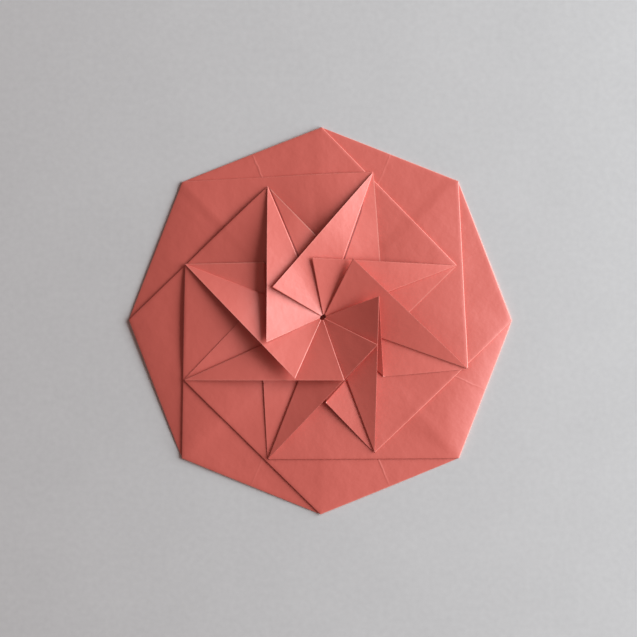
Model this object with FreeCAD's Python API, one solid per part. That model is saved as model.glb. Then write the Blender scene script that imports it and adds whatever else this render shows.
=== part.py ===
import FreeCAD, Part
import math
import os

# A star compass folded from one octagonal sheet of paper.
#
# The middle of the sheet stays down as the base octagon. Round it the paper is pleated eight
# times, each pleat lying on the one before it, so the pleats close into a pinwheel. The cut edge
# of the sheet is folded out again over the pleats and makes the eight spikes and the rosette.
#
# All lengths are in millimetres and all angles in degrees. +Z is up, and the origin is the centre
# of the underside. "Layers" counts sheets of paper upwards from the base, which is layer 0.

# Driving dimensions
SHEET_WIDTH = 150.0      # across the flats of the octagon before it is folded
PAPER_THICKNESS = 0.10
AIR_GAP = 0.20           # left between a layer and the one that lies on it
CENTRE_HOLE = 1.2        # across the opening that the layers leave in the middle

# How finely slopes and the rounds of the folds are divided
SLOPES_PER_SECTOR = 4
FACES_PER_FOLD = 4

# The octagon
SIDES = 8
SECTOR = 360.0 / SIDES
HALF_SECTOR = SECTOR / 2
RAY_STEP = SECTOR / SLOPES_PER_SECTOR

# Sizes in plan. Folding halves the octagon, so its corners lie a quarter of the width out.
CORNER_RADIUS = SHEET_WIDTH / 4
TIP_RADIUS = 2 * CORNER_RADIUS * math.sin(math.radians(HALF_SECTOR))
PLEAT_RADIUS = CORNER_RADIUS * math.tan(math.radians(HALF_SECTOR))
ROSETTE_RADIUS = TIP_RADIUS * math.tan(math.radians(HALF_SECTOR))
HOLE_RADIUS = CENTRE_HOLE / 2

# The stack. A fold joins a layer to the next one, apart from the rim of the base octagon, which
# goes up to the blade: three layers where a side of the octagon starts and one where it ends.
PITCH = PAPER_THICKNESS + AIR_GAP
FOLD_CLIMB = 1
RIM_START_CLIMB = 3
RIM_END_CLIMB = 1
UP = FreeCAD.Vector(0, 0, 1)
CENTRE = FreeCAD.Vector(0, 0, 0)
KEY_DIGITS = 7


def at(radius, angle):
    """The point in plan at this distance and direction from the centre."""
    turn = math.radians(angle)
    return FreeCAD.Vector(radius * math.cos(turn), radius * math.sin(turn), 0)


def direction_of(point):
    return math.degrees(math.atan2(point.y, point.x))


def height_of(layer):
    """The height of the middle of the paper on this layer."""
    return PAPER_THICKNESS / 2 + layer * PITCH


def fold_room(layers):
    """How far a fold that climbs this many layers stands out, from where its flats end."""
    return (layers * PITCH + PAPER_THICKNESS) / 2


def meet(first, second):
    """Where two lines in plan cross, each given by two points."""
    start, along = first[0], first[1] - first[0]
    other, across = second[0], second[1] - second[0]
    turn = along.x * across.y - along.y * across.x
    gap = other - start
    share = (gap.x * across.y - gap.y * across.x) / turn
    return start + along * share


def left_of(start, end):
    """The level direction to the left of a line in plan."""
    along = (end - start).normalize()
    return FreeCAD.Vector(-along.y, along.x, 0)


def normal_of(points):
    """The way a flat outline faces, when its points run anticlockwise seen from there."""
    normal = CENTRE
    for one, other in zip(points[1:], points[2:]):
        normal = normal + (one - points[0]).cross(other - points[0])
    return normal


class Side:
    """One side of a facet, with the centre of the star on its left.

    A folded side is moved in from its crease, because the round of the fold needs room there.
    """

    def __init__(self, start, end, start_climb=0, end_climb=0):
        self.start = start
        self.end = end
        self.outward = left_of(start, end) * -1
        start_room = fold_room(start_climb) if start_climb else 0
        end_room = fold_room(end_climb) if end_climb else 0
        self.line = (start - self.outward * start_room, end - self.outward * end_room)

    def point(self, angle):
        """The point of the moved side that belongs to this direction from the centre."""
        crossing = meet((self.start, self.end), (CENTRE, at(1, angle)))
        share = (crossing - self.start).Length / (self.end - self.start).Length
        return self.line[0] + (self.line[1] - self.line[0]) * share


class Facet:
    """A flat of the folded sheet, from one fold that runs to the centre round to another.

    It slopes evenly from its first layer to its last as it goes round, which is what lets eight
    of them lie on each other in a ring. The slope is divided along rays from the centre, and
    marks tells which of its outer points are the corners of the facet.
    """

    def __init__(self, angles, sides, layers, facing):
        self.facing = UP * facing
        self.sides = sides
        first = Side(CENTRE, sides[0].start, FOLD_CLIMB, FOLD_CLIMB)
        last = Side(sides[-1].end, CENTRE, FOLD_CLIMB, FOLD_CLIMB)
        self.first_outward = first.outward
        self.last_outward = last.outward
        ring = [first] + sides + [last]
        corners = [meet(one.line, other.line) for one, other in zip(ring, ring[1:])]
        self.outer = [corners[0]]
        self.marks = [0]
        for number, side in enumerate(sides):
            begin, stop = angles[number], angles[number + 1]
            steps = round((stop - begin) / RAY_STEP)
            self.outer += [side.point(begin + RAY_STEP * step) for step in range(1, steps)]
            self.outer.append(corners[number + 1])
            self.marks.append(len(self.outer) - 1)
        self.inner = self.hole_edge(first, last, len(self.outer))
        climb = (layers[1] - layers[0]) / (len(self.outer) - 1)
        for step, (near, far) in enumerate(zip(self.inner, self.outer)):
            near.z = far.z = height_of(layers[0] + climb * step)

    def hole_edge(self, first, last, count):
        """Points round the centre hole, from the first fold of the facet to the last."""
        shift = math.degrees(math.asin(fold_room(FOLD_CLIMB) / HOLE_RADIUS))
        begin = direction_of(first.end) + shift
        stop = direction_of(last.start) - shift
        return [at(HOLE_RADIUS, begin + (stop - begin) * step / (count - 1)) for step in range(count)]

    def outer_stretch(self, number):
        """The points along one of the outer sides."""
        return self.outer[self.marks[number]:self.marks[number + 1] + 1]

    def first_edge(self):
        return [self.inner[0], self.outer[0]]

    def last_edge(self):
        return [self.inner[-1], self.outer[-1]]


def turned(vector, sectors):
    """The vector carried round the centre by a number of sectors."""
    return FreeCAD.Rotation(UP, SECTOR * sectors).multVec(vector)


class Sheet:
    """The middle of the paper as small flat cells, and the solid that its thickness makes.

    Each node is a point and the direction in which one and the same side of the paper faces.
    """

    def __init__(self):
        self.cells = []

    def add_cell(self, nodes):
        normal = normal_of([point for point, facing in nodes])
        side = sum(normal.dot(facing) for point, facing in nodes)
        self.cells.append(nodes if side > 0 else nodes[::-1])

    def add_strip(self, near, far):
        """Cells between two rows of nodes."""
        for step in range(len(near) - 1):
            self.add_cell([near[step], far[step], far[step + 1]])
            self.add_cell([near[step], far[step + 1], near[step + 1]])

    def add_facet(self, facet, sectors):
        facing = turned(facet.facing, sectors)
        near = [(turned(point, sectors), facing) for point in facet.inner]
        far = [(turned(point, sectors), facing) for point in facet.outer]
        self.add_strip(near, far)

    def add_fold(self, lower, upper, outward, facing):
        """A half-round fold from the edge of the lower facet up to the edge of the upper one."""
        rows = []
        for step in range(FACES_PER_FOLD + 1):
            turn = math.pi * (step / FACES_PER_FOLD - 0.5)
            share = (1 + math.sin(turn)) / 2
            face = outward * math.cos(turn) + UP * math.sin(turn)
            rows.append([
                (low + (high - low) * share + outward * math.cos(turn) * (high.z - low.z) / 2,
                 face * facing)
                for low, high in zip(lower, upper)])
        for one, other in zip(rows, rows[1:]):
            self.add_strip(one, other)

    def solid(self):
        """The sheet with its thickness: both sides of the paper, and its cut edges."""
        skin = Skin()
        half = PAPER_THICKNESS / 2
        edges = {}
        for nodes in self.cells:
            front = [point + facing * half for point, facing in nodes]
            back = [point - facing * half for point, facing in nodes]
            skin.add(front)
            skin.add(back[::-1])
            ring = list(zip(front, back))
            for one, other in zip(ring, ring[1:] + ring[:1]):
                name = frozenset((skin.key(one[0]), skin.key(other[0])))
                edges[name] = None if name in edges else (one, other)
        for pair in filter(None, edges.values()):
            (front, back), (next_front, next_back) = pair
            skin.add([front, back, next_back])
            skin.add([front, next_back, next_front])
        return skin.solid()


class Skin:
    """The faces of a solid, which share their edges."""

    def __init__(self):
        self.corners = {}
        self.edges = {}
        self.faces = []

    def key(self, point):
        return tuple(round(value, KEY_DIGITS) + 0.0 for value in point)

    def edge(self, one, other):
        start, end = self.key(one), self.key(other)
        name = frozenset((start, end))
        if name not in self.edges:
            start = self.corners.setdefault(start, Part.Vertex(one))
            end = self.corners.setdefault(end, Part.Vertex(other))
            self.edges[name] = Part.Edge(start, end)
        return self.edges[name]

    def add(self, points):
        ring = points + points[:1]
        edges = [self.edge(one, other) for one, other in zip(ring, ring[1:])]
        face = Part.Face(Part.Wire(edges))
        if face.normalAt(0, 0).dot(normal_of(points)) < 0:
            face.reverse()
        self.faces.append(face)

    def solid(self):
        return Part.Solid(Part.Shell(self.faces))


# Directions of the points of one sector, counted back from its corner of the octagon
CORNER = 0.0
LAST_CORNER = -SECTOR
NEXT_TIP = -1.5 * SECTOR
PLEAT_END = -2.0 * SECTOR
TIP = -2.5 * SECTOR
ROSETTE_CORNER = -HALF_SECTOR

corner = at(CORNER_RADIUS, CORNER)
last_corner = at(CORNER_RADIUS, LAST_CORNER)
next_tip = at(TIP_RADIUS, NEXT_TIP)
pleat_end = at(PLEAT_RADIUS, PLEAT_END)
tip = at(TIP_RADIUS, TIP)
rosette_corner = at(ROSETTE_RADIUS, ROSETTE_CORNER)

# The layers at the two ends of each facet. A blade and the pleat on it slope down as they go
# round and a flap slopes up, each by two layers a sector, which is the room for a folded pair.
BLADE_LAYERS = (6, 1)
PLEAT_LAYERS = (6, 2)
TUCK_LAYERS = (7, 10)
FLAP_LAYERS = (7, 11)

blade = Facet(
    [TIP, LAST_CORNER, CORNER],
    [Side(tip, last_corner, FOLD_CLIMB, FOLD_CLIMB),
     Side(last_corner, corner, RIM_START_CLIMB, RIM_END_CLIMB)],
    BLADE_LAYERS, 1)
pleat = Facet(
    [PLEAT_END, NEXT_TIP, CORNER],
    [Side(pleat_end, next_tip), Side(next_tip, corner, FOLD_CLIMB, FOLD_CLIMB)],
    PLEAT_LAYERS, -1)
tuck = Facet(
    [PLEAT_END, ROSETTE_CORNER],
    [Side(pleat_end, rosette_corner)],
    TUCK_LAYERS, 1)
flap = Facet(
    [TIP, ROSETTE_CORNER],
    [Side(tip, rosette_corner)],
    FLAP_LAYERS, -1)


def base_corner():
    """The corner of the base octagon, between the folds of its two rims."""
    one = blade.sides[1]
    other = Side(turned(one.start, 1), turned(one.end, 1), RIM_START_CLIMB, RIM_END_CLIMB)
    return meet(one.line, other.line)


def folded_sheet():
    sheet = Sheet()
    rim = blade.outer_stretch(1)
    base_rim = [turned(base_corner(), -1)] + rim[1:-1] + [base_corner()]
    base_rim = [FreeCAD.Vector(point.x, point.y, height_of(0)) for point in base_rim]
    blade_chord = [turned(point, 1) for point in blade.outer_stretch(0)]
    base = []
    for sectors in range(SIDES):
        for facet in (blade, pleat, tuck, flap):
            sheet.add_facet(facet, sectors)
        folds = (
            (base_rim, rim, blade.sides[1].outward, 1),
            (blade.last_edge(), pleat.last_edge(), blade.last_outward, -1),
            (pleat.outer_stretch(1), blade_chord, pleat.sides[1].outward, 1),
            (pleat.first_edge(), tuck.first_edge(), pleat.first_outward, 1),
            (tuck.last_edge(), flap.last_edge(), tuck.last_outward, -1),
            (blade.first_edge(), flap.first_edge(), blade.first_outward, -1),
        )
        for lower, upper, outward, facing in folds:
            sheet.add_fold(
                [turned(point, sectors) for point in lower],
                [turned(point, sectors) for point in upper],
                turned(outward, sectors), facing)
        base += [(turned(point, sectors), UP * -1) for point in base_rim[:-1]]
    sheet.add_cell(base)
    return sheet.solid()


def export(name, shape):
    os.makedirs("parts", exist_ok=True)
    shape.exportStep(os.path.join("parts", name + ".step"))
    print(name, "valid", shape.isValid(), "closed", shape.isClosed(), "faces", len(shape.Faces),
          "volume", round(shape.Volume, 2), "box", shape.BoundBox)


export("folded_sheet", folded_sheet())
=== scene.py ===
import math
from collections import namedtuple

import bmesh
import bpy
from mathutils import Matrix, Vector, noise


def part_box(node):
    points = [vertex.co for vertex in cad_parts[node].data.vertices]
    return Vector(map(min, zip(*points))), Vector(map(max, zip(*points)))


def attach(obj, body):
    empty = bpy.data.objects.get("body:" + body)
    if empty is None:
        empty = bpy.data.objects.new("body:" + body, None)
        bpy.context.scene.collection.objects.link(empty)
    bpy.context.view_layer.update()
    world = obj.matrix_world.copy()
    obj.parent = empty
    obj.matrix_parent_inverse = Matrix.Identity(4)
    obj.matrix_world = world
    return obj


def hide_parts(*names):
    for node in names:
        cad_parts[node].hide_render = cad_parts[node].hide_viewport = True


# A star compass folded by hand from one octagonal sheet of salmon paper, lying on a pale table.
#
# The whole sheet is one mesh. Each flat between two folds is a grid, whose columns are lines from
# the centre hole out to its edge, and half-round strips join the flats at the folds.
#
# Letters name the points of the folding: V are the corners of the octagon, T the tips of the
# spikes, P the corners of the pleats' cut edges, U the corners of the rosette, O the centre.
# There are eight of each but O, numbered anticlockwise, and V 0 lies to the right. Sector 0 lies
# between V 7 and V 0. Its blade, pleat, tuck and flap reach back clockwise to spike 5, which is
# numbered -3 from there. All lengths up to the finished mesh are in millimetres.

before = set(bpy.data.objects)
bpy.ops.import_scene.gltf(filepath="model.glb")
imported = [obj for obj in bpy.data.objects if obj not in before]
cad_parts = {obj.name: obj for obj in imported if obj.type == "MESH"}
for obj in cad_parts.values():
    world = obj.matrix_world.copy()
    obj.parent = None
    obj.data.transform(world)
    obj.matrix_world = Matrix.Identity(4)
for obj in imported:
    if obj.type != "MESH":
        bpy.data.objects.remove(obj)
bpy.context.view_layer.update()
low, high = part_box("folded_sheet")

MM = 0.001
SIDES = 8
SECTOR = 360 / SIDES
RADIUS = (high.x - low.x) / 2 / MM      # of the octagon's corners
PAPER = 0.10                            # thickness

# The stack: the rise from a layer to the next, the layers that a pleat takes with the air in it,
# and the layers that the rosette climbs from each flap's fold to the next
RISE = 0.14
PLEAT_LAYERS = 2.4
RING_LAYERS = 1.5
# A blade starts at its corner V and ends at the spike's fold, this many sectors back
SPIKE_BACK = 2.5
LAST_BLADE_LAYER = 1 + PLEAT_LAYERS * SPIKE_BACK
# The rosette's first layers, at the spike's fold
TUCK_LAYER = LAST_BLADE_LAYER + 0.2
FLAP_LAYER = LAST_BLADE_LAYER + 1
# The share of a pleat's climb that is a soft step beside its hidden fold, and the step's width
STEP_SHARES = [0.2, 0.3, 0.2, 0.5, 0.2, 0.1, 0.1, 0.15]
STEP_WIDTH = 2.5
NEAR_CENTRE = 0.1       # the least radius that the step's width is reckoned with
TOO_FAR_ROUND = -120    # degrees: a turn past this belongs to the other side of the star

# The folds: how far a flat ends short of its crease, and the cells round a half-round fold
FOLD_ROOM = 0.18
FOLD_CELLS = 6
SHARP_EDGE = 50         # degrees: faces that meet more sharply are shaded apart
HOLE = 0.55             # the centre hole's radius
HOLE_OVAL = 0.2         # the share of it by which the hole is longer and narrower than round
WELD = 0.0005           # nodes closer together than this become one
CORNER_REACH = 1.2      # the gap where four folds meet at a corner V lies within this of it

# The cells of a flat and of the base from the centre out
ROWS = 24
BASE_ROWS = 6
# Extra columns along an edge, as shares of it: near the ends of every edge, and where the chords
# and the sides of the octagon cross the soft step beside a hidden fold
EDGE_SHARES = [0.005, 0.02, 0.98, 0.995]
CHORD_SHARES = [0.3, 0.32, 0.34, 0.36, 0.39, 0.41, 0.46]
RIM_SHARES = [0.01, 0.035, 0.05, 0.065, 0.1, 0.12]

# The swell of the whole stack: it rises from the rim, each side with its own slope, levels off
# at a height, and dips to the centre within a radius, more suddenly the higher its power
SIDE_SLOPES = [0.09, 0.07, 0.09, 0.18, 0.18, 0.07, 0.10, 0.27]
DOME_HEIGHT = 1.4
DISH_RADIUS = 18.0
DISH_POWER = 6
# A slight unevenness of the swell
RIPPLE_HEIGHT = 0.08
RIPPLE_SCALE = 0.09
RIPPLE_CUT = 3.7        # where the noise is cut through
RIPPLE_FADE = 6         # how far in from the rim it has its full height

# Where the points lie when the folding is exact: distance from the centre as a share of RADIUS,
# and the direction of the first of the eight
EXACT = {"O": (0, 0), "V": (1, 0), "T": (0.76537, 22.5), "P": (0.41421, 45), "U": (0.31702, 22.5)}

# How far hand folding has put each point off, in millimetres to the right and away
SLIPS = {
    "O": [(0.45, 0.65)] * SIDES,
    "V": [(-0.2, -0.1), (0.4, 0.6), (0.3, 0.2), (-0.4, 0.6), (0.1, 0.2), (-0.6, -0.3),
          (-0.1, -0.3), (0.4, -0.4)],
    "T": [(0.0, -0.3), (-0.7, 2.4), (0.7, -0.4), (0.2, 0.0), (-0.1, -0.6), (0.7, -0.5),
          (-0.5, 0.8), (2.1, 1.6)],
    "P": [(0.6, 0.3), (0, 0), (0.0, 0.3), (0.6, 0.6), (-0.1, -0.6), (1.0, -0.3), (1.2, 0.1),
          (0, 0)],
    "U": [(0.2, 0.2), (1.6, 1.0), (2.8, 1.1), (1.7, 1.8), (0.6, 0.3), (-0.3, -0.2), (0.1, -0.5),
          (0, 0)],
}

# What each vertex keeps beside its place
LAYERS = ["flat_x", "flat_y", "worn", "beside"]
# How pale the paper is along the cut edge of each spike's pleat, along the cut edge of
# every flap, along the pleat's fold that ends at each corner V, and along each spike's fold:
# part wear, part a painted highlight on the edges and folds that face the light.
# A fold with a value below 0 gets a painted shadow instead.
PLEAT_WEAR_AND_LIGHT = [0.8, 0.9, 1.6, 0.6, 0.1, 0.1, 0.1, 0.1]
FLAP_WEAR = 0.3
# On the chords facing the light the pale line is a painted highlight; below 0, on those facing
# away, it is a painted shadow
CHORD_LIGHT_AND_SHADE = [0.9, 1.0, 0.8, 0.5, -0.6, -0.8, -0.6, -0.4]
SPIKE_WEAR_AND_LIGHT = [0.9, 0.0, 0.5, 0.1, 0.9, 0.8, 0.9, 0.9]
# The spikes with a painted shadow in the groove beside their fold, and how far from the centre it
# ends
GROOVES = {1: 22.5, 2: 27.0}
GROOVE_GAP = 0.2        # from the fold to the middle of the groove
GROOVE_SLANT = 4        # past its end the groove runs in under the fold, 1 in this
NO_GROOVE = 9.0         # the distance from a groove where there is none

# How steeply each flap springs up from its fold along the spike. A flap that curls starts out
# less steep, by its share in CURL, and has caught up at the curl's width from the fold.
SPRING = [0.215, 0.28, 0.30, 0.30, 0.22, 0.265, 0.30, 0.24]
CURL = [0, 0, 0, 0, 0, 0.14, 0.18, 0]
CURL_WIDTH = 6.0

# How far each flap's spring holds up the layers under it, and how far from the centre it does
BULGE = [0.0, 0.09, 0.09, 0.05, 0.0, 0.0, 0.0, 0.0]
BULGE_REACH = [30, 30, 30, 40, 30, 30, 30, 30]

# How steeply each spike's pleat rises from the tip, the share of that at the pleat's corner, and
# the power that rounds its crest off, which is sharper the higher the power
PLEAT_RISE = [0.0, 0.10, 0.16, 0.06, 0.0, 0.012, 0.045, 0.02]
CORNER_SHARE = [1, 0.2, 0.2, 0, 1, 1, 2, 0]
CREST_POWER = 3

# The paper: two shades of it, a pale colour for worn fibres and painted highlights, and a painted
# shadow in a groove and along shaded folds
DEEP_SALMON = (0.63, 0.114, 0.088, 1)
SALMON = (0.735, 0.145, 0.115, 1)
WORN_AND_LIT_SALMON = (0.92, 0.42, 0.35, 1)
# The colour of painted shadow, in grooves and along shaded folds
PAINTED_SHADOW_SALMON = (0.2, 0.02, 0.015, 1)
WORN_AND_LIT_SHARE = 0.7
GROOVE_WIDTH = 0.22
# The eight creases that the sheet was given first, before the folding
FIRST_CREASE_SHARE = 0.06
FIRST_CREASE_WIDTH = 0.25
# How deep the bumps are, in metres
COCKLE_DEPTH = 0.00025
CREASE_DEPTH = 0.00005
FIBRE_DEPTH = 0.00003

# The table and the light, in metres
TABLE_HALF = 1.5
TABLE_DARK = (0.51, 0.505, 0.515, 1)
TABLE_PALE = (0.64, 0.635, 0.645, 1)
SKY_COLOUR = (1.0, 0.64, 0.55, 1)
SKY_STRENGTH = 0.21
WINDOW_COLOUR = (0.91, 1.0, 1.02)
WINDOW_WIDTH = 0.74
WINDOW_HEIGHT = 0.52
LIGHT_AZIMUTH = math.radians(8)
LIGHT_ELEVATION = math.radians(25)
LIGHT_DISTANCE = 0.62
LIGHT_STRENGTH = 7.65

# The camera: the width that it sees, and the point of the table under it
VIEW_WIDTH = 124.4 * MM
VIEW_CENTRE = (-0.4 * MM, 0.4 * MM)
FOCAL_LENGTH = 90


def at(radius, degrees):
    turn = math.radians(degrees)
    return Vector((radius * math.cos(turn), radius * math.sin(turn)))


def exact(name, number):
    share, start = EXACT[name]
    return at(RADIUS * share, start + SECTOR * number)


def folded(name, number):
    return exact(name, number) + Vector(SLIPS[name][number % SIDES])


def cross(one, other):
    return one.x * other.y - one.y * other.x


def turn_between(one, other):
    """The turn from one direction to another, in degrees, anticlockwise."""
    return math.degrees(math.atan2(cross(one, other), one.dot(other)))


def mirrored(point, start, end):
    """The point unfolded across the crease from start to end."""
    along = (end - start).normalized()
    foot = start + along * (point - start).dot(along)
    return foot * 2 - point


CENTRE = folded("O", 0)
RIM_NORMALS = [at(1, SECTOR * (number + 0.5)) for number in range(SIDES)]
RIM_DISTANCE = RADIUS * math.cos(math.radians(SECTOR / 2))


def dome(point):
    """How far the whole stack swells up above the base at this point of the plan."""
    nearness = [math.exp(point.dot(normal) - RIM_DISTANCE) for normal in RIM_NORMALS]
    inside = math.log(2) - math.log(sum(nearness))      # 0 at the octagon's corners
    slope = sum(share * steep for share, steep in zip(nearness, SIDE_SLOPES)) / sum(nearness)
    ripple = noise.noise(Vector((point.x, point.y, RIPPLE_CUT)) * RIPPLE_SCALE) * RIPPLE_HEIGHT
    swell = DOME_HEIGHT * math.tanh(slope * inside / DOME_HEIGHT)
    out = (point - CENTRE).length / DISH_RADIUS
    height = swell + ripple * min(1, max(0, inside / RIPPLE_FADE))
    return height * out / (1 + out ** DISH_POWER) ** (1 / DISH_POWER)


def sectors_back(point, sector):
    """How many sectors the point lies clockwise of corner V of this sector, seen from O."""
    place = point - CENTRE
    for step in range(-1, 4):
        start = folded("V", sector - step) - CENTRE
        end = folded("V", sector - step - 1) - CENTRE
        turn = turn_between(start, place)
        if turn > TOO_FAR_ROUND and turn_between(end, place) >= 0:
            break
    return step + turn / turn_between(start, end)


def stair(back, radius, sector):
    """The number of hidden folds climbed: an even slope, with a soft step up to each fold."""
    whole = math.floor(back)
    width = min(1, STEP_WIDTH / (math.radians(SECTOR) * max(radius, NEAR_CENTRE)))
    share = min(1, max(0, (back - whole - 1 + width) / width))
    step = STEP_SHARES[(sector - 1 - whole) % SIDES]
    return back + step * (whole - back + share * share * (3 - 2 * share))


def pull(point, number):
    """How far the pleat at this spike is pulled up along the spike's ridge.

    It rises from the spike's tip to abreast of the pleat's corner, and falls again to the centre.
    """
    tip, corner = folded("T", number) - CENTRE, folded("P", number - 1) - CENTRE
    along = tip.normalized()
    reach, top, here = tip.length, corner.dot(along), (point - CENTRE).dot(along)
    falling, rising = max(0, reach - here), max(0, here * (reach - top) / top)
    even = (falling ** CREST_POWER + rising ** CREST_POWER) ** (1 / CREST_POWER)
    return PLEAT_RISE[number % SIDES] * falling * rising / even if even else 0


def past_ridge(point, number):
    """How far the point has turned from this spike's ridge, anticlockwise, in half sectors."""
    return turn_between(folded("T", number) - CENTRE, point - CENTRE) / (SECTOR / 2)


def pleat_pull(point, number):
    """How far the pull holds up the pleats on either side of the spike's ridge."""
    past = past_ridge(point, number)
    if past < 0:
        return pull(point, number) * (1 + past - past * CORNER_SHARE[number % SIDES])
    return pull(point, number) * max(0, 1 - past)


def bulge(point, number):
    """How far the blade and pleat between two spikes are held up by the flap's spring."""
    past = past_ridge(point, number)
    if not 0 < past < 2:
        return 0
    length = (point - CENTRE).length
    along = length * max(0, 1 - length / BULGE_REACH[number % SIDES])
    return BULGE[number % SIDES] * along * math.sin(math.pi * past / 2)


def held_up(point, number):
    return pleat_pull(point, number) + bulge(point, number)


def layered(point, layers):
    return PAPER / 2 + dome(point) + RISE * layers


def blade_height(point, sector):
    back = sectors_back(point, sector)
    layers = 1 + PLEAT_LAYERS * stair(max(0, back), (point - CENTRE).length, sector)
    return layered(point, layers) + held_up(point, sector - 3)


def pleat_height(point, sector):
    back = sectors_back(point, sector)
    layers = 2 + PLEAT_LAYERS * stair(max(0, back), (point - CENTRE).length, sector)
    return layered(point, layers) + pleat_pull(point, sector - 2) + held_up(point, sector - 3)


def off_line(point, name, number):
    """Distance from the line through the centre and a point of the folding, to its left."""
    return cross((folded(name, number) - CENTRE).normalized(), point - CENTRE)


def groove(point, number):
    """How far the point is from the groove beside a spike's fold, where its shadow is painted, in
    millimetres.
    """
    end = GROOVES.get(number % SIDES, 0)
    past_end = max(0, (point - CENTRE).length - end)
    if not end:
        return NO_GROOVE
    return off_line(point, "T", number) + GROOVE_GAP - past_end / GROOVE_SLANT


def ring_layers(point, sector, first):
    """The rosette's layer at a point: it climbs from its first layer at the spike's fold."""
    return first + RING_LAYERS * (SPIKE_BACK - sectors_back(point, sector))


def curled(point, number):
    """How high the flap stands at a point, as a share of what it would without its curl."""
    curl = CURL[number % SIDES]
    return 1 - curl + curl * max(0, off_line(point, "T", number)) / CURL_WIDTH


def flap_lift(point, number):
    """How far the flap stands up over its layer."""
    off = max(0, off_line(point, "T", number))
    lift = SPRING[number % SIDES] * off * curled(point, number)
    return lift + pull(point, number) * max(0, 1 - past_ridge(point, number) / 2)


def flap_height(point, sector):
    layers = ring_layers(point, sector, FLAP_LAYER)
    return layered(point, layers) + flap_lift(point, sector - 3)


def tuck_height(point, sector):
    """The tuck runs from the pleat's edge up to the flap's, and stays under the flap."""
    corner, pleat = folded("U", sector - 1), folded("P", sector - 3)
    hem = CENTRE + (pleat - CENTRE).normalized() * (point - CENTRE).length
    over = flap_lift(corner, sector - 3) * curled(point, sector - 3) / curled(corner, sector - 3)
    under = pleat_pull(hem, sector - 2) + held_up(hem, sector - 3)
    lift = over * off_line(point, "P", sector - 3) / off_line(corner, "P", sector - 3)
    lift += under * off_line(point, "U", sector - 1) / off_line(hem, "U", sector - 1)
    lift = min(lift, flap_lift(point, sector - 3))
    return layered(point, ring_layers(point, sector, TUCK_LAYER)) + lift


def graded(count, extra=()):
    """Shares along an edge, closer together near its ends."""
    even = [step / count for step in range(count + 1)]
    return sorted(set(even + EDGE_SHARES + list(extra)))


CHORD_STEPS = graded(16, CHORD_SHARES)
RIM_STEPS = graded(12, RIM_SHARES)
CUT_STEPS = graded(8)
FLAP_STEPS = graded(22)
TUCK_STEPS = graded(16)
ROW_STEPS = [step / ROWS for step in range(ROWS)] + [0.98, 1]
LAST_ROW = len(ROW_STEPS) - 1


def moved_line(start, end, room):
    """The line from start to end, moved to its left."""
    along = (end - start).normalized()
    left = Vector((-along.y, along.x))
    return start + left * room, end + left * room


def meet(first, second):
    start, along = first[0], first[1] - first[0]
    other, across = second[0], second[1] - second[0]
    return start + along * (cross(other - start, across) / cross(along, across))


class Outline:
    """The columns of one flat in plan, from its first fold at the centre round to its last.

    Each side has the steps along it and whether it is creased. A cut edge needs no fold's room.
    """

    def __init__(self, centre, corners, sides):
        first = moved_line(centre, corners[0], FOLD_ROOM)
        last = moved_line(corners[-1], centre, FOLD_ROOM)
        lines = [moved_line(one, other, FOLD_ROOM if creased else 0)
                 for one, other, (_, creased) in zip(corners, corners[1:], sides)]
        ring = [first] + lines + [last]
        bends = [meet(one, other) for one, other in zip(ring, ring[1:])]
        self.outer = [bends[0]]
        self.marks = [0]
        for one, other, (steps, _) in zip(bends, bends[1:], sides):
            self.outer += [one.lerp(other, share) for share in steps[1:]]
            self.marks.append(len(self.outer) - 1)
        shift = math.degrees(math.asin(FOLD_ROOM / HOLE))
        east = Vector((1, 0))
        begin = turn_between(east, corners[0] - centre) + shift
        stop = turn_between(east, corners[-1] - centre) - shift
        if stop < begin:
            stop += 360
        count = len(self.outer) - 1
        turns = [begin + (stop - begin) * step / count for step in range(count + 1)]
        self.inner = [centre + at(HOLE * (1 + HOLE_OVAL * math.sin(math.radians(2 * turn))), turn)
                      for turn in turns]

    def point(self, column, row):
        return self.inner[column].lerp(self.outer[column], ROW_STEPS[row])


# A node of the paper: its place in the folded star, its place on the unfolded sheet, how pale the
# paper is there from wear and painted highlight (below 0: painted shadow), and how far it is from
# the painted shadow in a groove beside a spike's fold
Node = namedtuple("Node", "place flat worn beside")


class Flat:
    """One flat of the folded sheet: its place, and where it lies on the unfolded sheet."""

    def __init__(self, sector, names, sides, height, creases, wear_and_light_value=0):
        numbers = [(name, sector + step) for name, step in names]
        self.folded = Outline(CENTRE, [folded(*one) for one in numbers], sides)
        self.exact = Outline(exact("O", 0), [exact(*one) for one in numbers], sides)
        self.height = height
        self.sector = sector
        self.creases = [(exact(one, sector + step), exact(other, sector + far))
                        for (one, step), (other, far) in creases]
        self.columns = len(self.folded.outer) - 1
        _, first_creased = sides[0]
        self.last_cut = 0 if first_creased else self.folded.marks[1]
        self.wear_and_light_value = wear_and_light_value
        self.nodes = {}

    def node(self, column, row):
        if (column, row) not in self.nodes:
            plan = self.folded.point(column, row)
            flat = self.exact.point(column, row)
            for crease in self.creases:
                flat = mirrored(flat, *crease)
            place = Vector((plan.x, plan.y, self.height(plan, self.sector)))
            worn = self.wear_and_light_value if row == LAST_ROW and column <= self.last_cut else 0
            beside = groove(plan, self.sector - 2) if self.height == pleat_height else NO_GROOVE
            self.nodes[column, row] = Node(place, flat, worn, beside)
        return self.nodes[column, row]

    def column(self, number):
        number = self.columns if number < 0 else number
        return [self.node(number, row) for row in range(LAST_ROW + 1)]

    def side(self, number):
        marks = self.folded.marks
        return [self.node(column, LAST_ROW)
                for column in range(marks[number], marks[number + 1] + 1)]


def add_grid(mesh, columns, rows, node):
    """A grid of unit size, whose nodes are then put in their places."""
    flat_x, flat_y, worn, beside = (mesh.verts.layers.float[name] for name in LAYERS)
    made = bmesh.ops.create_grid(mesh, x_segments=columns, y_segments=rows, size=0.5)
    for vert in made["verts"]:
        column = round((vert.co.x + 0.5) * columns)
        row = round((vert.co.y + 0.5) * rows)
        vert.co, (vert[flat_x], vert[flat_y]), vert[worn], vert[beside] = node(column, row)


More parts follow.
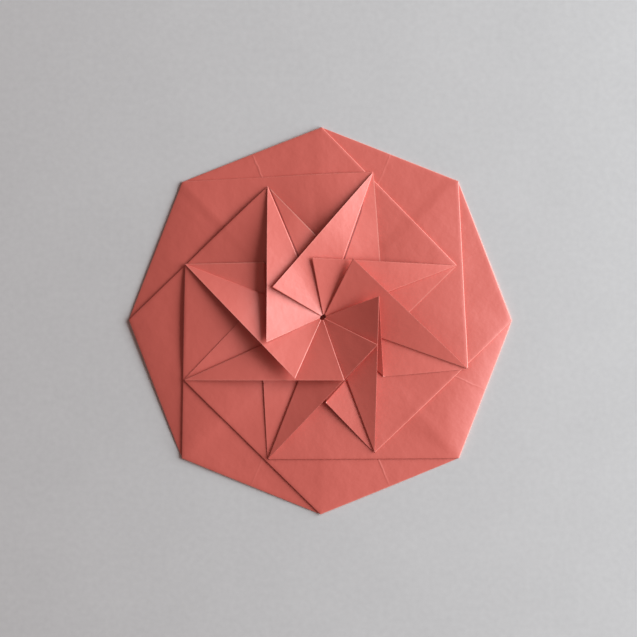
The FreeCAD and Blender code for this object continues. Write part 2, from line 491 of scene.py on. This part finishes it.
def add_fold(mesh, lower, upper, outward, wear_and_light_value=1):
    """A half-round fold from one row of nodes up to another."""
    def node(column, row):
        turn = math.pi * (row / FOLD_CELLS - 0.5)
        share = (1 + math.sin(turn)) / 2
        under, over = lower[column], upper[column]
        reach = min(FOLD_ROOM, abs(over.place.z - under.place.z) / 2) * math.cos(turn)
        place = under.place.lerp(over.place, share) + outward.to_3d() * reach
        # The paper pales along the fold's crown by its value: wear with a painted highlight, and
        # a painted shadow where the value is below 0
        return Node(place, under.flat.lerp(over.flat, share), wear_and_light_value * math.cos(turn), NO_GROOVE)
    add_grid(mesh, len(lower) - 1, FOLD_CELLS, node)


def away_from(start, end):
    """The level direction to the right of a line."""
    along = (end - start).normalized()
    return Vector((along.y, -along.x))


def sector_flats(sector):
    """The blade, pleat, tuck and flap of a sector, with the creases that unfold each."""
    rim = (("V", -1), ("V", 0))
    corner = (("O", 0), ("V", 0))
    pleat = (("O", 0), ("P", -3))
    spike = (("O", 0), ("T", -3))
    blade = Flat(sector, [("T", -3), ("V", -1), ("V", 0)],
                 [(CHORD_STEPS, True), (RIM_STEPS, True)], blade_height, [rim])
    pleated = Flat(sector, [("P", -3), ("T", -2), ("V", 0)],
                   [(CUT_STEPS, False), (CHORD_STEPS, True)], pleat_height, [corner, rim],
                   PLEAT_WEAR_AND_LIGHT[(sector - 2) % SIDES])
    tuck = Flat(sector, [("P", -3), ("U", -1)],
                [(TUCK_STEPS, False)], tuck_height, [pleat, corner, rim])
    flap = Flat(sector, [("T", -3), ("U", -1)],
                [(FLAP_STEPS, False)], flap_height, [spike, rim], FLAP_WEAR)
    return blade, pleated, tuck, flap


def base_corner(number):
    """The corner of the base between its two rims, moved in from the folds there."""
    before, here, after = (folded("V", number + step) for step in (-1, 0, 1))
    return meet(moved_line(before, here, FOLD_ROOM), moved_line(here, after, FOLD_ROOM))


def base_rim(sector):
    """The nodes along one side of the base."""
    start, end = base_corner(sector - 1), base_corner(sector)
    nodes = []
    for share in RIM_STEPS:
        plan = start.lerp(end, share)
        nodes.append(Node(Vector((plan.x, plan.y, PAPER / 2)), plan, 0, NO_GROOVE))
    return nodes


def folded_sheet():
    mesh = bmesh.new()
    for name in LAYERS:
        mesh.verts.layers.float.new(name)
    flats = [sector_flats(sector) for sector in range(SIDES)]
    for sector in range(SIDES):
        blade, pleated, tuck, flap = flats[sector]
        next_blade = flats[(sector + 1) % SIDES][0]
        for flat in flats[sector]:
            add_grid(mesh, flat.columns, LAST_ROW, flat.node)
        corner, last_corner = folded("V", sector), folded("V", sector - 1)
        rim = base_rim(sector)
        add_fold(mesh, rim, blade.side(1), away_from(last_corner, corner))
        add_fold(mesh, blade.column(-1), pleated.column(-1), away_from(corner, CENTRE))
        # The chord fold's value paints a highlight on it where above 0, and a shadow where below
        add_fold(mesh, pleated.side(1), next_blade.side(0),
                 away_from(folded("T", sector - 2), corner), CHORD_LIGHT_AND_SHADE[sector])
        add_fold(mesh, pleated.column(0), tuck.column(0),
                 away_from(CENTRE, folded("P", sector - 3)))
        add_fold(mesh, tuck.column(-1), flap.column(-1),
                 away_from(folded("U", sector - 1), CENTRE))
        add_fold(mesh, blade.column(0), flap.column(0),
                 away_from(CENTRE, folded("T", sector - 3)), SPIKE_WEAR_AND_LIGHT[(sector - 3) % SIDES])

        def base_node(column, row):
            plan = CENTRE.lerp(rim[column].flat, row / BASE_ROWS)
            return Node(Vector((plan.x, plan.y, PAPER / 2)), plan, 0, NO_GROOVE)
        add_grid(mesh, len(rim) - 1, BASE_ROWS, base_node)
    bmesh.ops.remove_doubles(mesh, verts=mesh.verts, dist=WELD)
    close_corners(mesh)
    bmesh.ops.recalc_face_normals(mesh, faces=mesh.faces)
    return mesh


def close_corners(mesh):
    """Draw the paper together where four folds meet at each corner of the octagon."""
    for number in range(SIDES):
        corner = folded("V", number)
        ring = [edge for edge in mesh.edges if edge.is_boundary and
                all((vert.co.to_2d() - corner).length < CORNER_REACH for vert in edge.verts)]
        bmesh.ops.poke(mesh, faces=bmesh.ops.holes_fill(mesh, edges=ring, sides=0)["faces"])


def thicken(mesh):
    """Give the sheet its thickness, half to each side, and its cut edges."""
    mesh.normal_update()
    for vert in mesh.verts:
        vert.co += vert.normal * PAPER / 2
    paler = mesh.faces.layers.float.new("paler_side")
    for face in mesh.faces:
        face[paler] = 0
    made = bmesh.ops.solidify(mesh, geom=mesh.faces[:], thickness=PAPER)["geom"]
    for face in made:
        if isinstance(face, bmesh.types.BMFace):
            face[paler] = 1


def put_in_order(mesh):
    """Order the faces by their corners: the cut edges' faces are made in no fixed order."""
    mesh.verts.index_update()
    ordered = sorted(mesh.faces, key=lambda face: sorted(vert.index for vert in face.verts))
    for index, face in enumerate(ordered):
        face.index = index
    mesh.faces.sort()


def finish_mesh(mesh):
    """Lay the unfolded sheet out as the UV map, and bring the star to metres."""
    flat_x, flat_y = (mesh.verts.layers.float[name] for name in LAYERS[:2])
    sheet = mesh.loops.layers.uv.new("sheet")
    for face in mesh.faces:
        face.smooth = True
        for loop in face.loops:
            loop[sheet].uv = loop.vert[flat_x], loop.vert[flat_y]
    for edge in mesh.edges:
        edge.smooth = edge.calc_face_angle(math.pi) < math.radians(SHARP_EDGE)
    for vert in mesh.verts:
        vert.co *= MM
    made = bpy.data.meshes.new("folded_star")
    mesh.to_mesh(made)
    mesh.free()
    return made


class Value:
    """A socket in an expression: each operator adds its Math node."""

    tree = None

    def __init__(self, socket):
        self.socket = socket

    @classmethod
    def node(cls, kind, settings, **inputs):
        """A node of any kind. Inputs go by name, or as i0, i1 and so on by number."""
        made = cls.tree.nodes.new(kind)
        for name, setting in settings.items():
            setattr(made, name, setting)
        for name, value in inputs.items():
            numbered = name[0] == "i" and name[1:].isdigit()
            socket = made.inputs[int(name[1:]) if numbered else name.replace("_", " ")]
            if isinstance(value, Value):
                cls.tree.links.new(value.socket, socket)
            else:
                socket.default_value = value
        return made

    @classmethod
    def maths(cls, operation, *values):
        inputs = {"i%d" % number: value for number, value in enumerate(values)}
        return cls(cls.node("ShaderNodeMath", {"operation": operation}, **inputs).outputs[0])

    def __add__(self, other):
        return self.maths("ADD", self, other)

    def __radd__(self, other):
        return self.maths("ADD", other, self)

    def __sub__(self, other):
        return self.maths("SUBTRACT", self, other)

    def __rsub__(self, other):
        return self.maths("SUBTRACT", other, self)

    def __mul__(self, other):
        return self.maths("MULTIPLY", self, other)

    def __rmul__(self, other):
        return self.maths("MULTIPLY", other, self)

    def __truediv__(self, other):
        return self.maths("DIVIDE", self, other)

    def __rtruediv__(self, other):
        return self.maths("DIVIDE", other, self)

    def __neg__(self):
        return self * -1.0

    def __abs__(self):
        return self.maths("ABSOLUTE", self)

    def above_zero(self):
        return self.maths("MAXIMUM", self, 0.0)

    def line(self, width):
        """1 where this value is 0, fading to 0 at a width to either side."""
        return (1 - abs(self) / width).above_zero()


def new_material(name):
    made = bpy.data.materials.new(name)
    made.use_nodes = True
    made.node_tree.nodes.clear()
    Value.tree = made.node_tree
    return made


def noise_of(place, scale, detail, roughness=0.5):
    """Cloudy noise between 0 and 1, about 0.5 on average."""
    return Value(Value.node("ShaderNodeTexNoise", {}, Vector=place, Scale=scale, Detail=detail,
                            Roughness=roughness).outputs[0])


def attribute(name):
    return Value(Value.node("ShaderNodeAttribute", {"attribute_name": name}).outputs["Fac"])


def blend(share, first, second):
    """A colour between two, by a share from 0 to 1."""
    return Value(Value.node("ShaderNodeMix", {"data_type": "RGBA"}, i0=share, i6=first,
                            i7=second).outputs[2])


def bumped(height, strength, distance, normal=None):
    inputs = {"Normal": normal} if normal else {}
    return Value(Value.node("ShaderNodeBump", {}, Strength=strength, Distance=distance,
                            Height=height, **inputs).outputs[0])


def surfaced(material, colour, roughness, specular, **inputs):
    """The material with this surface."""
    shader = Value.node("ShaderNodeBsdfPrincipled", {}, Base_Color=colour, Roughness=roughness,
                        Specular_IOR_Level=specular, **inputs)
    out = Value.node("ShaderNodeOutputMaterial", {})
    material.node_tree.links.new(shader.outputs[0], out.inputs[0])
    return material


def first_creases(place):
    """How far a point of the unfolded sheet is from the nearest of its eight first creases."""
    parts = Value.node("ShaderNodeSeparateXYZ", {}, Vector=place)
    across, up = Value(parts.outputs[0]), Value(parts.outputs[1])
    turn = Value.maths("ARCTAN2", up, across) * (SIDES / math.tau)
    length = Value(Value.node("ShaderNodeVectorMath", {"operation": "LENGTH"},
                              i0=place).outputs["Value"])
    return (Value.maths("FRACT", turn + SIDES) - 0.5) * math.radians(SECTOR) * length


def salmon_paper():
    """Dyed paper, with patterns in millimetres on the unfolded sheet."""
    made = new_material("salmon_paper")
    place = Value(Value.node("ShaderNodeUVMap", {"uv_map": "sheet"}).outputs[0])
    fibre = noise_of(place, scale=3.2, detail=4.0, roughness=0.7)
    cockle = noise_of(place, scale=0.22, detail=3.0, roughness=0.55)
    cloud = noise_of(place, scale=0.12, detail=3.0)
    # The first creases show only in patches, and the pale wear and painted highlight is broken up
    # by the fibres
    patchy = (noise_of(place, scale=0.07, detail=1.0) - 0.42).above_zero() * 5
    wobble = noise_of(place, scale=0.5, detail=2.0) - 0.5
    # Pale marks along folds and cut edges, part wear and part painted highlight; below 0 they are
    # painted shadow
    worn = attribute("worn") * (fibre * 2.2 - 0.3).above_zero()
    # Painted shadow: in the groove beside spikes 1 and 2, and along folds whose value is below 0
    shaded = (-worn).above_zero() + (attribute("beside") + wobble * 0.1).line(GROOVE_WIDTH)
    first = (first_creases(place) + wobble * 0.5).line(FIRST_CREASE_WIDTH) * patchy
    shade = cloud * 0.3 + fibre * 0.2 + attribute("paler_side") * 0.7
    colour = blend(shade, DEEP_SALMON, SALMON)
    # Paler where worn and where a highlight is painted, and along the first creases
    paled = worn.above_zero() * WORN_AND_LIT_SHARE + first * FIRST_CREASE_SHARE
    colour = blend(paled, colour, WORN_AND_LIT_SALMON)
    colour = blend(shaded, colour, PAINTED_SHADOW_SALMON)
    normal = bumped(cockle, strength=0.5, distance=COCKLE_DEPTH)
    normal = bumped(first, strength=0.5, distance=CREASE_DEPTH, normal=normal)
    normal = bumped(fibre, strength=0.3, distance=FIBRE_DEPTH, normal=normal)
    return surfaced(made, colour, roughness=0.48, specular=1.0, Normal=normal)


def table_top():
    made = new_material("table_top")
    place = Value(Value.node("ShaderNodeTexCoord", {}).outputs["Object"])
    speckle = noise_of(place, scale=900.0, detail=3.0)
    patch = noise_of(place, scale=60.0, detail=4.0, roughness=0.6)
    colour = blend(speckle * 0.6 + patch * 0.4, TABLE_DARK, TABLE_PALE)
    return surfaced(made, colour, roughness=0.7, specular=0.0)


def add_object(name, data, material):
    made = bpy.data.objects.new(name, data)
    bpy.context.scene.collection.objects.link(made)
    data.materials.append(material)
    return made


# The star
sheet = folded_sheet()
thicken(sheet)
put_in_order(sheet)
star = add_object("folded_star", finish_mesh(sheet), salmon_paper())
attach(star, "root")
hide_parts("folded_sheet")

# The table
table = bmesh.new()
bmesh.ops.create_grid(table, x_segments=1, y_segments=1, size=TABLE_HALF)
ground = bpy.data.meshes.new("table_top")
table.to_mesh(ground)
table.free()
floor = add_object("table_top", ground, table_top())

# Light from the right, low and a little soft, and an even sky
world = bpy.data.worlds.new("sky")
world.use_nodes = True
background = world.node_tree.nodes["Background"]
background.inputs["Color"].default_value = SKY_COLOUR
background.inputs["Strength"].default_value = SKY_STRENGTH
bpy.context.scene.world = world

window = bpy.data.lights.new("window", "AREA")
window.shape = "RECTANGLE"
window.size = WINDOW_WIDTH
window.size_y = WINDOW_HEIGHT
window.color = WINDOW_COLOUR
window.energy = LIGHT_STRENGTH * math.pi * LIGHT_DISTANCE ** 2
lamp = bpy.data.objects.new("window", window)
bpy.context.scene.collection.objects.link(lamp)
ray = Vector((math.cos(LIGHT_AZIMUTH) * math.cos(LIGHT_ELEVATION),
              math.sin(LIGHT_AZIMUTH) * math.cos(LIGHT_ELEVATION), math.sin(LIGHT_ELEVATION)))
lamp.location = ray * LIGHT_DISTANCE
lamp.rotation_euler = ray.to_track_quat("Z", "Y").to_euler()

# The camera looks straight down
lens = bpy.data.cameras.new("overhead")
lens.lens = FOCAL_LENGTH
camera = bpy.data.objects.new("overhead", lens)
camera.location = (*VIEW_CENTRE, VIEW_WIDTH * lens.lens / lens.sensor_width)
bpy.context.scene.collection.objects.link(camera)
bpy.context.scene.camera = camera

view = bpy.context.scene.view_settings
view.view_transform = "Standard"
